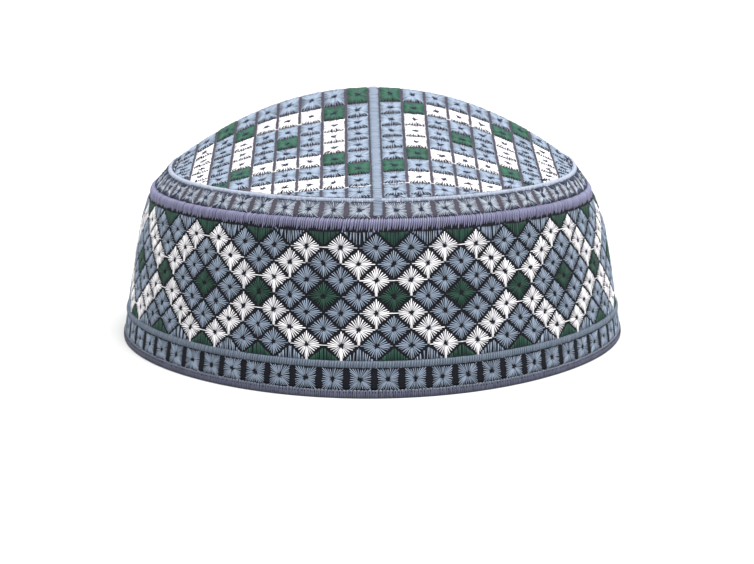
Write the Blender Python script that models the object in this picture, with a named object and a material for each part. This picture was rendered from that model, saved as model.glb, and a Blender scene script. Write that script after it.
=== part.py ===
"""Embroidered kufi: a stiff round cloth cap with a leaning side band and a folded crown.

Units are metres, +Z is up and the hem rests on the plane z = 0. The front of the cap faces -Y.
Every ring of the cap is the same plan curve, scaled with height because the band leans inwards.
A point of a section is an inset (how far in from the band's outer face) and a height.
"""
import math

import bmesh
import bpy
import numpy as np
from mathutils import Vector

MM = 0.001
CLEARANCE = 0.3 * MM

# Plan of the cap at mid height, seen from above
MEAN_RADIUS = 84.8 * MM
OVAL = 0.003
SQUARENESS = 0.009
SKEW = -0.01
MID_HEIGHT = 30.8 * MM
STATIONS = 88

# Lean of the band, as the share of its width lost per metre of height
SIDE_LEAN = 2.2
FRONT_LEAN = 3.0

# Side band
BAND_THICKNESS = 2.4 * MM
BAND_BOTTOM = 2.8 * MM
BAND_TOP = 51.0 * MM
BAND_BULGE = 0.6 * MM
BAND_OUTER_ROWS = 6
BAND_INNER_ROWS = 4

# Hem binding, stitched over the lower edge of the band
HEM_HEIGHT = 2.5 * MM
HEM_REACH = 0.5 * MM
HEM_CHAMFER = 0.4 * MM

# Raised satin line low on the band
LOWER_LINE_HEIGHT = 10.4 * MM
LOWER_LINE_WIDTH = 2.3 * MM
LOWER_LINE_RISE = 0.6 * MM
LOWER_LINE_FLANK_WIDTH = 0.8
LOWER_LINE_FLANK_RISE = 0.6

# Ridge binding, the overcast seam between band and crown
RIDGE_HEIGHT = 53.0 * MM
RIDGE_RADIUS = 1.7 * MM
RIDGE_INSET = 1.2 * MM
RIDGE_SIDES = 8

# Crown: a sloped shoulder up to the inner line, then two slopes that meet at a fold
CROWN_THICKNESS = 2.0 * MM
SHOULDER_WIDTH = 5.6 * MM
SHOULDER_RISE = 6.7 * MM
SHOULDER_START = 0.32
SIDE_LIFT = 0.5 * MM
CREST_HEIGHT = 88.3 * MM
CREST_Y = -3.0 * MM
CREST_POWER = 2.06
CREST_ROUNDING = 3.0 * MM
CREST_ROUNDING_SHARE = 0.15
SLOPE_SAG = 0.16
CROWN_RINGS = (0.9, 0.75, 0.58, 0.4, 0.24, 0.1)

# Raised satin line round the inner edge of the shoulder
CROWN_LINE_WIDTH = 2.4 * MM
CROWN_LINE_RISE = 0.8 * MM
CROWN_LINE_FLANK_WIDTH = 0.75
CROWN_LINE_FLANK_RISE = 0.7

# Flat satin strip from front to back over the fold. It starts just inside the inner line, has
# extra stations near the crest, and goes on down the shoulder between the line and the ridge.
STRIP_WIDTH = 3.4 * MM
STRIP_THICKNESS = 0.5 * MM
STRIP_START = 0.975
STRIP_CREST_SHARES = (0.06, 0.03)
STRIP_SHOULDER_SHARES = (0.80, 0.57, SHOULDER_START)

SHARP_ANGLE = math.radians(40)

# Colour (linear), roughness and metallic value of each thread and of the cloth
FINISHES = {
    "black_cloth": ((0.016, 0.014, 0.019), 0.92, 0.0),
    "pale_blue_thread": ((0.30, 0.37, 0.46), 0.55, 0.0),
    "purple_grey_thread": ((0.16, 0.16, 0.24), 0.6, 0.0),
    "slate_thread": ((0.095, 0.102, 0.145), 0.65, 0.0),
}


def plan_angles():
    return np.linspace(0.0, 2.0 * math.pi, STATIONS, endpoint=False)


def plan_ring(height):
    """Outer face of the band at one height, as a ring of points that starts at the front."""
    angle = plan_angles()
    swell = 1.0 + OVAL * np.cos(2 * angle) + SQUARENESS * np.cos(4 * angle)
    radius = MEAN_RADIUS * (swell + SKEW * np.sin(2 * angle))
    above = height - MID_HEIGHT
    bulge = BAND_BULGE * max(0.0, 1.0 - (above / MID_HEIGHT) ** 2)
    x = radius * np.sin(angle) * (1.0 - SIDE_LEAN * above) + bulge * np.sin(angle)
    y = -radius * np.cos(angle) * (1.0 - FRONT_LEAN * above) - bulge * np.cos(angle)
    return np.column_stack([x, y])


def outward(ring):
    """Level unit normals of a ring of points."""
    along = np.roll(ring, -1, axis=0) - np.roll(ring, 1, axis=0)
    normal = np.column_stack([along[:, 1], -along[:, 0]])
    return normal / np.linalg.norm(normal, axis=1)[:, None]


def ring_at(height, inset):
    """Ring of points at a height, moved in from the band's outer face."""
    base = plan_ring(min(height, RIDGE_HEIGHT))
    flat = base - outward(base) * inset
    return np.column_stack([flat, np.full(len(flat), height)])


def level_centre():
    """Middle of the hem binding's outline, which is the widest ring of the cap."""
    hem = ring_at(HEM_HEIGHT / 2, -HEM_REACH)
    return (hem.max(axis=0) + hem.min(axis=0))[:2] / 2


def make_material(name):
    colour, roughness, metallic = FINISHES[name]
    material = bpy.data.materials.new(name)
    material.use_nodes = True
    shader = material.node_tree.nodes["Principled BSDF"]
    shader.inputs["Base Color"].default_value = (*colour, 1.0)
    shader.inputs["Roughness"].default_value = roughness
    shader.inputs["Metallic"].default_value = metallic
    return material


def make_object(name, bm, material):
    """Turn a bmesh into a smooth shaded object centred over the origin."""
    bmesh.ops.recalc_face_normals(bm, faces=bm.faces)
    shift = level_centre()
    bmesh.ops.translate(bm, verts=bm.verts, vec=Vector((-shift[0], -shift[1], 0.0)))
    mesh = bpy.data.meshes.new(name)
    bm.to_mesh(mesh)
    bm.free()
    mesh.shade_smooth()
    mesh.set_sharp_from_angle(angle=SHARP_ANGLE)
    mesh.materials.append(material)
    obj = bpy.data.objects.new(name, mesh)
    bpy.context.scene.collection.objects.link(obj)
    return obj


def bridge(bm, lower, upper):
    """Quads between two closed rows of vertices of equal length."""
    count = len(lower)
    for i in range(count):
        j = (i + 1) % count
        bm.faces.new((lower[i], lower[j], upper[j], upper[i]))


def closed_sweep(name, rings, material):
    """A body like a tyre: rings of points, each joined to the next and the last to the first."""
    bm = bmesh.new()
    rows = [[bm.verts.new(point) for point in ring] for ring in rings]
    for row, following in zip(rows, rows[1:] + rows[:1]):
        bridge(bm, row, following)
    return make_object(name, bm, material)


def section_rings(section):
    return [ring_at(height, inset) for inset, height in section]


def hem_section():
    outer = -HEM_REACH
    inner = BAND_THICKNESS + HEM_REACH
    low, high = HEM_CHAMFER, HEM_HEIGHT - HEM_CHAMFER
    return [
        (outer + HEM_CHAMFER, 0.0), (outer, low), (outer, high), (outer + HEM_CHAMFER, HEM_HEIGHT),
        (inner - HEM_CHAMFER, HEM_HEIGHT), (inner, high), (inner, low), (inner - HEM_CHAMFER, 0.0),
    ]


def band_section():
    outer_heights = np.linspace(BAND_BOTTOM, BAND_TOP, BAND_OUTER_ROWS)
    inner_heights = np.linspace(BAND_TOP, BAND_BOTTOM, BAND_INNER_ROWS)
    outer = [(0.0, height) for height in outer_heights]
    return outer + [(BAND_THICKNESS, height) for height in inner_heights]


def lower_line_section():
    half = LOWER_LINE_WIDTH / 2
    flank = LOWER_LINE_FLANK_WIDTH * half
    face = -CLEARANCE
    shoulder = face - LOWER_LINE_FLANK_RISE * LOWER_LINE_RISE
    top = face - LOWER_LINE_RISE
    shape = [(face, -half), (shoulder, -flank), (top, 0.0), (shoulder, flank), (face, half)]
    return [(inset, LOWER_LINE_HEIGHT + rise) for inset, rise in shape]


def ridge_section():
    turns = [2 * math.pi * side / RIDGE_SIDES for side in range(RIDGE_SIDES)]
    return [(RIDGE_INSET + RIDGE_RADIUS * math.cos(turn), RIDGE_HEIGHT + RIDGE_RADIUS * math.sin(turn))
            for turn in turns]


def inner_oval():
    """Ring of the crown's inner line: the upper edge of the shoulder."""
    ring = ring_at(RIDGE_HEIGHT, SHOULDER_WIDTH)
    across = np.abs(ring[:, 0]) / np.abs(ring[:, 0]).max()
    ring[:, 2] = RIDGE_HEIGHT + SHOULDER_RISE + SIDE_LIFT * across ** 2
    return ring


class Fold:
    """Height of the crown inside the inner line, from the oval's two halves and the crest."""

    def __init__(self):
        self.oval = inner_oval()
        self.half_width = np.abs(self.oval[:, 0]).max()
        self.foot = RIDGE_HEIGHT + SHOULDER_RISE + SIDE_LIFT

    def edge(self, x, sign):
        """Where the oval's front (sign -1) or back (sign +1) half crosses a given x."""
        half = self.oval[self.oval[:, 1] * sign >= -MM]
        half = half[np.argsort(half[:, 0])]
        return np.interp(x, half[:, 0], half[:, 1]), np.interp(x, half[:, 0], half[:, 2])

    def crest(self, x):
        across = min(abs(x) / self.half_width, 1.0)
        height = CREST_HEIGHT - (CREST_HEIGHT - self.foot) * across ** CREST_POWER
        return CREST_Y * (1.0 - across), height

    def height(self, x, y):
        crest_y, crest_z = self.crest(x)
        sign = -1.0 if y < crest_y else 1.0
        edge_y, edge_z = self.edge(x, sign)
        run = abs(crest_y - edge_y)
        if run < MM:
            return edge_z
        rounding = min(CREST_ROUNDING, CREST_ROUNDING_SHARE * run)
        reach = math.hypot(run, rounding) - rounding
        away = (math.hypot(y - crest_y, rounding) - rounding) / reach
        climb = 1.0 - min(away, 1.0)
        rise = (1.0 - SLOPE_SAG) * climb + SLOPE_SAG * climb ** 3
        return edge_z + (crest_z - edge_z) * rise

    def point(self, x, y):
        return np.array([x, y, self.height(x, y)])


def crown_rings(fold):
    """Outer face of the crown: the shoulder's two rings, then rings that shrink to the crest."""
    corner = ring_at(RIDGE_HEIGHT, 0.0)
    rings = [corner + (fold.oval - corner) * SHOULDER_START, fold.oval]
    centre = np.array([0.0, CREST_Y])
    for share in CROWN_RINGS:
        flat = centre + (fold.oval[:, :2] - centre) * share
        rings.append(np.array([fold.point(x, y) for x, y in flat]))
    return rings


def build_crown(fold, material):
    """The crown's outer face as a net of rings, thickened inwards."""
    bm = bmesh.new()
    rows = [[bm.verts.new(point) for point in ring] for ring in crown_rings(fold)]
    for row, following in zip(rows, rows[1:]):
        bridge(bm, row, following)
    top = bm.verts.new(fold.point(0.0, CREST_Y))
    for i in range(STATIONS):
        bm.faces.new((rows[-1][i], rows[-1][(i + 1) % STATIONS], top))
    crown = make_object("crown", bm, material)
    wall = crown.modifiers.new("thickness", "SOLIDIFY")
    wall.thickness = CROWN_THICKNESS
    wall.offset = -1.0
    wall.use_even_offset = True
    return crown


def build_crown_line(fold, material):
    """A low bead along the inner oval, bent over the edge between shoulder and slope."""
    corner = ring_at(RIDGE_HEIGHT, 0.0)
    down = corner - fold.oval
    down /= np.linalg.norm(down, axis=1)[:, None]
    centre = np.array([0.0, CREST_Y])
    inner = centre + (fold.oval[:, :2] - centre) * CROWN_RINGS[0]
    up = np.array([fold.point(x, y) for x, y in inner]) - fold.oval
    up /= np.linalg.norm(up, axis=1)[:, None]
    along = np.roll(fold.oval, -1, axis=0) - np.roll(fold.oval, 1, axis=0)
    along /= np.linalg.norm(along, axis=1)[:, None]
    out_low = np.cross(along, -down)
    out_high = np.cross(along, up)
    out = out_low + out_high
    out /= np.linalg.norm(out, axis=1)[:, None]
    half = CROWN_LINE_WIDTH / 2
    flank = CROWN_LINE_FLANK_WIDTH * half
    flank_rise = CLEARANCE + CROWN_LINE_FLANK_RISE * CROWN_LINE_RISE
    rings = [
        fold.oval + down * half + out_low * CLEARANCE,
        fold.oval + down * flank + out_low * flank_rise,
        fold.oval + out * (CLEARANCE + CROWN_LINE_RISE),
        fold.oval + up * flank + out_high * flank_rise,
        fold.oval + up * half + out_high * CLEARANCE,
        fold.oval + out * CLEARANCE,
    ]
    return closed_sweep("crown_line", rings, material)


def strip_body(name, path, material):
    """A flat ribbon that follows a path in the plane x = 0, raised clear of the crown."""
    path = np.array(path)
    along = np.gradient(path, axis=0)
    along /= np.linalg.norm(along, axis=1)[:, None]
    normal = np.column_stack([np.zeros(len(path)), -along[:, 2], along[:, 1]])
    half = np.array([STRIP_WIDTH / 2, 0.0, 0.0])
    low = path + normal * CLEARANCE
    high = low + normal * STRIP_THICKNESS
    bm = bmesh.new()
    rows = []
    for bottom, top in zip(low, high):
        corners = (bottom - half, bottom + half, top + half, top - half)
        rows.append([bm.verts.new(corner) for corner in corners])
    for row, following in zip(rows, rows[1:]):
        bridge(bm, row, following)
    bm.faces.new(rows[0])
    bm.faces.new(rows[-1][::-1])
    return make_object(name, bm, material)


def slope_path(fold):
    """Middle line of the crown from the front of the oval to its back."""
    shares = (STRIP_START,) + CROWN_RINGS + STRIP_CREST_SHARES
    front, back = fold.oval[0, 1], fold.oval[STATIONS // 2, 1]
    stations = [CREST_Y + (front - CREST_Y) * share for share in shares]
    stations.append(CREST_Y)
    stations += [CREST_Y + (back - CREST_Y) * share for share in reversed(shares)]
    return [fold.point(0.0, y) for y in stations]


def shoulder_path(fold, station):
    """Middle line down the shoulder, from just below the inner line to just above the ridge."""
    corner = ring_at(RIDGE_HEIGHT, 0.0)[station]
    oval = fold.oval[station]
    path = [corner + (oval - corner) * share for share in STRIP_SHOULDER_SHARES]
    for point in path:
        point[0] = 0.0
    return path if station else path[::-1]


def main():
    for obj in list(bpy.data.objects):
        bpy.data.objects.remove(obj, do_unlink=True)
    cloth = make_material("black_cloth")
    pale = make_material("pale_blue_thread")
    purple = make_material("purple_grey_thread")
    slate = make_material("slate_thread")
    fold = Fold()

    closed_sweep("side_band", section_rings(band_section()), cloth)
    closed_sweep("hem_binding", section_rings(hem_section()), slate)
    closed_sweep("lower_line", section_rings(lower_line_section()), pale)
    closed_sweep("ridge_binding", section_rings(ridge_section()), purple)
    build_crown(fold, cloth)
    build_crown_line(fold, pale)
    strip_body("centre_strip", slope_path(fold), pale)
    strip_body("front_strip", shoulder_path(fold, 0), pale)
    strip_body("back_strip", shoulder_path(fold, STATIONS // 2), pale)


main()
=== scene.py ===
import math

import bpy
import numpy as np
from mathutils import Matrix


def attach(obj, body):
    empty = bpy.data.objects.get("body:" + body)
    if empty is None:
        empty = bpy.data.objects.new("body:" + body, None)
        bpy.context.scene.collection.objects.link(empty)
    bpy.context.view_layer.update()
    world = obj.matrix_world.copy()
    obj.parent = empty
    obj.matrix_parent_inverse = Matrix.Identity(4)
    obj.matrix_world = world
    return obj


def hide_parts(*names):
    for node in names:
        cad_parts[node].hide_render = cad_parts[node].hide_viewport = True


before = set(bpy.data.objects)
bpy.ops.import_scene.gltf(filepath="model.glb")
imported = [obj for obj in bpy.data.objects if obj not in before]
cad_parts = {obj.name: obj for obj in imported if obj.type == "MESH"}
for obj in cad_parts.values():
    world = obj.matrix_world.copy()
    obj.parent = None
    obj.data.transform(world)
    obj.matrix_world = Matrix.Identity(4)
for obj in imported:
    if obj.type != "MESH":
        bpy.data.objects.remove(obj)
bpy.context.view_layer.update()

rng = np.random.default_rng(seed=7)

# Side band: one strip of stiffened dark cotton, bent round into a ring that leans inwards and
# closed at the back. The embroidery covers its outer face, and its inner face is plain.
MM = 0.001
MEAN_RADIUS = 84.8 * MM
# Shares of the radius that make the ring a little oval, squarish and skew
OVAL = 0.003
SQUARENESS = 0.009
SKEW = -0.01
MID_HEIGHT = 30.8 * MM
# Share of the radius that each metre of height takes off, at the sides and in front
SIDE_LEAN = 2.2
FRONT_LEAN = 3.0
RIDGE_HEIGHT = 53.0 * MM
BAND_THICKNESS = 2.4 * MM
BAND_BOTTOM = 2.8 * MM
BAND_TOP = 52.3 * MM
BAND_BULGE = 0.6 * MM
# The crown pulls in the top of the wall at the cap's two sides, from TUCK_START up to the ridge
SIDE_TUCK = 2.4 * MM
TUCK_SKEW = 0.3
TUCK_START = 38.0 * MM
SIDE_POWER = 16
COLUMNS_ROUND = 264
BAND_ROWS = 12
CLOTH_EDGE = 0.4 * MM
SMALL_TURN = 0.002
MERGE_DISTANCE = 0.01 * MM


def unit(vector):
    return vector / np.linalg.norm(vector, axis=-1, keepdims=True)


def stacked(*parts):
    """Coordinates side by side, as one array of places or points."""
    return np.stack(parts, axis=-1)


def plan_curve(angle, height):
    """Outer face of the band seen from above, by the angle from the front towards +X."""
    radius = MEAN_RADIUS * (1.0 + OVAL * np.cos(2 * angle) + SQUARENESS * np.cos(4 * angle)
                            + SKEW * np.sin(2 * angle))
    above = height - MID_HEIGHT
    bulge = BAND_BULGE * np.maximum(0.0, 1.0 - (above / MID_HEIGHT) ** 2)
    x = np.sin(angle) * (radius * (1.0 - SIDE_LEAN * above) + bulge)
    y = -np.cos(angle) * (radius * (1.0 - FRONT_LEAN * above) + bulge)
    return stacked(x, y)


def at_sides(angle):
    """One at the cap's two sides, and nothing in front and behind."""
    return np.abs(np.sin(angle)) ** SIDE_POWER


def side_tuck(angle):
    """How far the crown's pull tucks in the top of the wall, more on the right than on the left."""
    return SIDE_TUCK * at_sides(angle) * (1.0 + TUCK_SKEW * np.sin(angle))


def wall_point(angle, height, inset=0.0):
    """A point of the band, moved in from its outer face along the level normal."""
    angle, height, inset = np.broadcast_arrays(angle, height, inset)
    level = np.minimum(height, RIDGE_HEIGHT)
    along = plan_curve(angle + SMALL_TURN, level) - plan_curve(angle - SMALL_TURN, level)
    outward = unit(stacked(along[..., 1], -along[..., 0]))
    near_top = np.clip((level - TUCK_START) / (RIDGE_HEIGHT - TUCK_START), 0.0, 1.0)
    inwards = inset + side_tuck(angle) * near_top ** 2
    flat = plan_curve(angle, level) - outward * inwards[..., None]
    return np.concatenate([flat, height[..., None]], axis=-1)


def cloth_panel(name, columns, rows, place):
    """A flat grid that is bent into shape: place takes each vertex's share along and across."""
    bpy.ops.mesh.primitive_grid_add(x_subdivisions=columns, y_subdivisions=rows, size=1.0)
    panel = bpy.context.object
    panel.name = panel.data.name = name
    flat = np.empty(len(panel.data.vertices) * 3)
    panel.data.vertices.foreach_get("co", flat)
    flat = flat.reshape(-1, 3) + 0.5
    panel.data.vertices.foreach_set("co", place(flat[:, 0], flat[:, 1]).ravel())
    bpy.ops.object.mode_set(mode="EDIT")
    bpy.ops.mesh.remove_doubles(threshold=MERGE_DISTANCE)
    bpy.ops.mesh.normals_make_consistent(inside=False)
    bpy.ops.object.mode_set(mode="OBJECT")
    bpy.ops.object.shade_smooth()
    return panel


def apply_modifier(piece, kind, **settings):
    """Adds a modifier with its settings to the active piece, and applies it."""
    modifier = piece.modifiers.new(kind.lower(), kind)
    for key, value in settings.items():
        setattr(modifier, key, value)
    bpy.ops.object.modifier_apply(modifier=modifier.name)


def linear(hex_colour):
    """An sRGB hex colour as linear RGBA."""
    parts = [int(hex_colour[i:i + 2], 16) / 255 for i in (1, 3, 5)]
    return [p / 12.92 if p <= 0.04045 else ((p + 0.055) / 1.055) ** 2.4 for p in parts] + [1.0]


def set_inputs(material, node, inputs):
    """Links a node's inputs to other nodes, or sets constants on its own sockets."""
    for key, value in inputs.items():
        if isinstance(value, bpy.types.NodeSocket):
            material.node_tree.links.new(value, node.inputs[key])
        else:
            node.inputs[key].default_value = value


def add_node(material, kind, inputs, **settings):
    """Adds a node, with its settings, constants and links."""
    node = material.node_tree.nodes.new(kind)
    for key, value in settings.items():
        setattr(node, key, value)
    set_inputs(material, node, inputs)
    return node


def new_material(name):
    """An empty material and its Principled shader."""
    material = bpy.data.materials.new(name)
    material.use_nodes = True
    return material, material.node_tree.nodes["Principled BSDF"]


def woven_cotton(name, dark, light):
    """Near-black woven cotton: matt, with a dull, faded bloom in patches. Its yarns are 0.35 mm
    apart, and are drawn 0.44 mm apart so that they show."""
    yarn = 0.44 * MM
    patch = 4.55 * MM
    material, shader = new_material(name)
    place = add_node(material, "ShaderNodeTexCoord", {}).outputs["Object"]
    # A wave of scale 1 repeats after pi / 10
    waves = {"Vector": place, "Scale": math.pi / 10 / yarn}
    yarns = [add_node(material, "ShaderNodeTexWave", waves, bands_direction=way).outputs["Fac"]
             for way in ("Z", "DIAGONAL")]
    weave = add_node(material, "ShaderNodeMath", dict(enumerate(yarns)), operation="MULTIPLY")
    bloom = add_node(material, "ShaderNodeTexNoise", {"Vector": place, "Scale": 1.0 / patch,
                                                      "Detail": 4.0})
    colour = add_node(material, "ShaderNodeMix", {0: bloom.outputs["Fac"], 6: linear(dark),
                                                  7: linear(light)}, data_type="RGBA")
    bump = add_node(material, "ShaderNodeBump", {"Height": weave.outputs[0], "Strength": 0.5,
                                                 "Distance": 0.1 * MM})
    set_inputs(material, shader, {"Base Color": colour.outputs[2], "Normal": bump.outputs["Normal"],
                                  "Roughness": 0.9, "IOR": 1.53, "Specular IOR Level": 0.2})
    return material


def dress(piece, material, slot, *nodes):
    """Gives a piece its material and its body, and hides the CAD nodes that it stands for."""
    piece.data.materials.append(material)
    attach(piece, "root")
    if nodes:
        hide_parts(*nodes)


def band_place(along, across):
    """Where the flat strip's vertices go: round the cap, and up its wall."""
    return wall_point(math.tau * along, BAND_BOTTOM + (BAND_TOP - BAND_BOTTOM) * across)


band = cloth_panel("band_cloth", COLUMNS_ROUND, BAND_ROWS, band_place)
apply_modifier(band, "SOLIDIFY", thickness=BAND_THICKNESS, offset=-1.0, use_even_offset=True)
apply_modifier(band, "BEVEL", width=CLOTH_EDGE, segments=2, limit_method="ANGLE")
band_cotton = woven_cotton("stiffened_black_cotton", "#05060c", "#0d0e17")
dress(band, band_cotton, "black_cloth", "side_band")

# Crown: a sloped shoulder that rises from the ridge to the inner line, and inside it two slopes
# that meet at a soft fold from side to side. It is the same cotton as the band, its colour painted
# paler for the light that falls on it, and its edge is caught in the seam under the ridge binding.
SHOULDER_WIDTH = 5.6 * MM
SHOULDER_RISE = 6.7 * MM
SIDE_LIFT = 0.5 * MM
# How much further in and up the inner line lies at the cap's two sides
END_WIDTH = 3.3 * MM
END_LIFT = 1.1 * MM
CREST_HEIGHT = 88.3 * MM
CREST_Y = -3.0 * MM
CREST_POWER = 2.06
CREST_ROUNDING = 3.0 * MM
CREST_ROUNDING_SHARE = 0.15
SLOPE_SAG = 0.16
CROWN_THICKNESS = 2.0 * MM
CROWN_RINGS = 34
# Share of the rings that the shoulder takes, and how far up it they start, under the ridge's roll
SHOULDER_SHARE = 0.12
SHOULDER_START = 0.2
ARC_STEPS = 1440


def oval_plan(angle):
    """The inner line seen from above. Its two ends lie further in than the rest."""
    inset = SHOULDER_WIDTH + END_WIDTH * at_sides(angle) - side_tuck(angle)
    return wall_point(angle, RIDGE_HEIGHT, inset)


def oval_point(angle):
    """The inner line: the upper edge of the shoulder."""
    point = oval_plan(angle)
    across = np.abs(point[..., 0]) / HALF_WIDTH
    lift = SHOULDER_RISE + SIDE_LIFT * across ** 2 + END_LIFT * at_sides(angle)
    point[..., 2] = RIDGE_HEIGHT + lift
    return point


def corner_point(angle):
    """The edge between the wall and the shoulder, under the ridge binding."""
    return wall_point(angle, RIDGE_HEIGHT)


FINE_ANGLES = np.linspace(0.0, math.tau, ARC_STEPS + 1)
HALF_WIDTH = np.abs(oval_plan(FINE_ANGLES)[:, 0]).max()
OVAL_POINTS = oval_point(FINE_ANGLES[:-1])
FOOT = RIDGE_HEIGHT + SHOULDER_RISE + SIDE_LIFT + END_LIFT


def oval_edge(x, front):
    """Where the front or back half of the inner line crosses each x."""
    half = OVAL_POINTS[(OVAL_POINTS[:, 1] <= 0) == front]
    half = half[np.argsort(half[:, 0])]
    return np.interp(x, half[:, 0], half[:, 1]), np.interp(x, half[:, 0], half[:, 2])


def crest_line(x):
    """The fold: its way forward or back and its height, at each x."""
    across = np.minimum(np.abs(x) / HALF_WIDTH, 1.0)
    return CREST_Y * (1.0 - across), CREST_HEIGHT - (CREST_HEIGHT - FOOT) * across ** CREST_POWER


def fold_height(x, y):
    """Height of the crown inside the inner line."""
    crest_y, crest_z = crest_line(x)
    front = y < crest_y
    edge_y, edge_z = np.where(front, oval_edge(x, True), oval_edge(x, False))
    run = np.maximum(np.abs(crest_y - edge_y), MM)
    rounding = np.minimum(CREST_ROUNDING, CREST_ROUNDING_SHARE * run)
    reach = np.hypot(run, rounding) - rounding
    climb = 1.0 - np.minimum((np.hypot(y - crest_y, rounding) - rounding) / reach, 1.0)
    rise = (1.0 - SLOPE_SAG) * climb + SLOPE_SAG * climb ** 3
    return edge_z + (crest_z - edge_z) * rise


def crown_place(along, across):
    """The shoulder takes the first share of the rings, and the two slopes take the rest."""
    angle = math.tau * along
    corner, oval = corner_point(angle), oval_point(angle)
    up = SHOULDER_START + (1.0 - SHOULDER_START) * np.minimum(across / SHOULDER_SHARE, 1.0)
    shoulder = corner + (oval - corner) * up[:, None]
    shrink = 1.0 - np.maximum(across - SHOULDER_SHARE, 0.0) / (1.0 - SHOULDER_SHARE)
    x = oval[:, 0] * shrink
    y = CREST_Y + (oval[:, 1] - CREST_Y) * shrink
    slope = stacked(x, y, fold_height(x, y))
    return np.where((across <= SHOULDER_SHARE)[:, None], shoulder, slope)


crown = cloth_panel("crown_cloth", COLUMNS_ROUND, CROWN_RINGS, crown_place)
apply_modifier(crown, "SOLIDIFY", thickness=CROWN_THICKNESS, offset=-1.0, use_even_offset=True)
# Painted light: the band's black cotton, its colours painted paler for the strong light up here
crown_cotton_painted_lit = woven_cotton("crown_cotton_painted_paler", "#302d35", "#494550")
dress(crown, crown_cotton_painted_lit, "black_cloth", "crown")

# Hem binding: slate thread overcast round the lower edge of the band, each turn lying beside the
# last over a padding of the same thread in its dark colour, painted shade where it shows between
# the turns. It is flat below, where the cap rests on it. A line of small chain stitches runs along
# its upper edge.
HEM_HEIGHT = 2.3 * MM
HEM_REACH = 0.3 * MM
HEM_SQUARENESS = 0.35
HEM_SIDES = 16
# How far the foot of a stitch is sunk in the cloth, the share of its width that is flat on top,
# and the painted shade at its foot, as a share of the thread's tone
SUNK = 0.06 * MM
FLAT_TOP = 0.5
FOOT_SHADE = 0.1
# How much threads differ in width, height and tone, and in a row in place and lean
THREAD_WIDTHS = (0.88, 1.12)
THREAD_HEIGHTS = (0.7, 1.3)
THREAD_TONES = (0.4, 1.0)
ROW_JITTER = 0.25
LEAN_SPREAD = 0.15
# The small steps, in threads and radians, that find which way a roll faces
ROW_STEP = (0.2, 0.02)
# A point under the crown, from which every outer face is seen from inside
INSIDE = np.array([0.0, 0.0, 20.0 * MM])
# Along a thread that lies over a roll: share of its length, of its width and of its height
ROLL_TABLE = ((0.07, 0.6, 0.6), (0.27, 1.0, 1.0), (0.5, 1.0, 1.0), (0.73, 1.0, 1.0), (0.93, 0.6, 0.7))
# The same for a stitch so short that it lies almost straight
SHORT_TABLE = ((0.13, 0.8, 0.8), (0.5, 1.0, 1.0), (0.87, 0.8, 0.85))
# The turns of the overcast thread, and short dark slits between them: the black ground that shows
# there, with painted shade. They run from low to high, in radians up from straight out, ragged by so
# much, and each slants by so many threads.
HEM_TURNS = {"count": 860, "low": -0.6, "high": 1.6, "ragged": 0.03, "width": 0.66 * MM,
             "height": 0.16 * MM, "slant": 0.2}
HEM_SHADE_SLITS = {"count": 560, "low": 0.08, "high": 0.66, "ragged": 0.03, "width": 0.46 * MM,
            "height": 0.24 * MM, "table": SHORT_TABLE}
CHAIN_STITCHES = 500
CHAIN_TURN = 1.05
CHAIN_FILL = 0.84
CHAIN_WIDTH = 0.34 * MM
CHAIN_HEIGHT = 0.36 * MM


def stitch_faces(rings):
    """Triangles of one stitch: a point, rings of two feet with a flat top between, and a point."""
    last = 4 * rings + 1
    sides = ((0, 1), (1, 2), (2, 3), (3, 0))
    faces = [(0, 1 + j, 1 + i) for i, j in sides]
    for ring in range(1, last - 4, 4):
        for i, j in sides:
            faces += [(ring + i, ring + j, ring + 4 + j), (ring + i, ring + 4 + j, ring + 4 + i)]
    return np.array(faces + [(last - 4 + i, last - 4 + j, last) for i, j in sides])


def surface_normal(chart, place, step):
    """A chart's normal by small steps."""
    here = chart(place)
    first = chart(place + [step[0], 0.0]) - here
    second = chart(place + [0.0, step[1]]) - here
    return unit(np.cross(first, second))


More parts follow.
